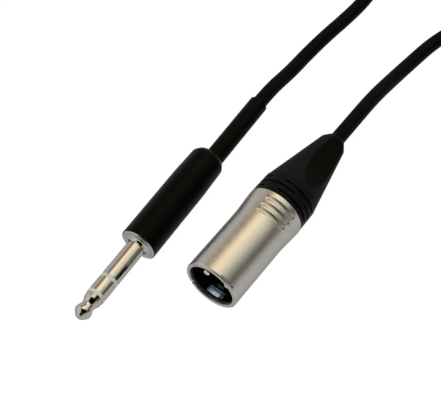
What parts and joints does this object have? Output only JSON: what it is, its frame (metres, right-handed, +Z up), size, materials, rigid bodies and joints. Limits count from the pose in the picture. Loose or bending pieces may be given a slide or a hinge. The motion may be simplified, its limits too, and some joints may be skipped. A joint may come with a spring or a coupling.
{
  "type": "xlr to trs cable",
  "caption": "Balanced audio lead with a round three-pole male connector on one end and a 6.35 mm stereo plug on the other, its spare cord coiled.",
  "frame": {"origin": "centre of the round plug's front face, on its axis", "axes": "+Y back along the round plug's axis towards the cord, +Z up, +X to the right seen from the front; the floor is 10.1 mm below the axis"},
  "size_m": [0.0696, 0.2653, 0.0202],
  "materials": {
    "nickel_satin": "satin nickel plate",
    "nickel_bright": "polished nickel plate",
    "contact_metal": "plated brass",
    "insert_black": "moulded glossy black",
    "collar_black": "satin moulded black",
    "boot_rubber": "satin black rubber",
    "barrel_black": "satin black",
    "shrink_black": "shrunk black tube",
    "cord_black": "satin black jacket",
    "insulator_pale": "pale greenish white",
    "liner_clear": "translucent white tube",
    "core_red": "red core insulation",
    "core_white": "white core insulation",
    "copper_tail": "twisted bare copper",
    "tie_fabric": "woven black strap"
  },
  "bodies": {
    "root": {"xlr_shell": "nickel_satin", "xlr_insert": "insert_black", "xlr_pin_1": "contact_metal", "xlr_pin_2": "contact_metal", "xlr_pin_3": "contact_metal", "xlr_ground_contact": "contact_metal", "xlr_chuck": "insert_black", "xlr_bushing": "collar_black", "xlr_boot": "boot_rubber", "xlr_cable_end": "cord_black", "xlr_shield_tail": "copper_tail", "xlr_hot_core": "core_red", "xlr_cold_core": "core_white", "trs_tip": "nickel_bright", "trs_tip_insulator": "insulator_pale", "trs_ring": "nickel_bright", "trs_ring_insulator": "insulator_pale", "trs_sleeve": "nickel_bright", "trs_rear_insulator": "insert_black", "trs_ring_lug": "contact_metal", "trs_lug_spacer": "insert_black", "trs_tip_lug": "contact_metal", "trs_cable_clamp": "contact_metal", "trs_barrel": "barrel_black", "trs_barrel_liner": "liner_clear", "trs_strain_sleeve": "shrink_black", "trs_cable_end": "cord_black", "trs_cold_core": "core_white", "trs_hot_core": "core_red", "trs_shield_tail": "copper_tail", "cord_run_xlr": "cord_black", "cord_coil": "cord_black", "cord_run_trs": "cord_black", "coil_tie": "tie_fabric"}
  },
  "joints": []
}
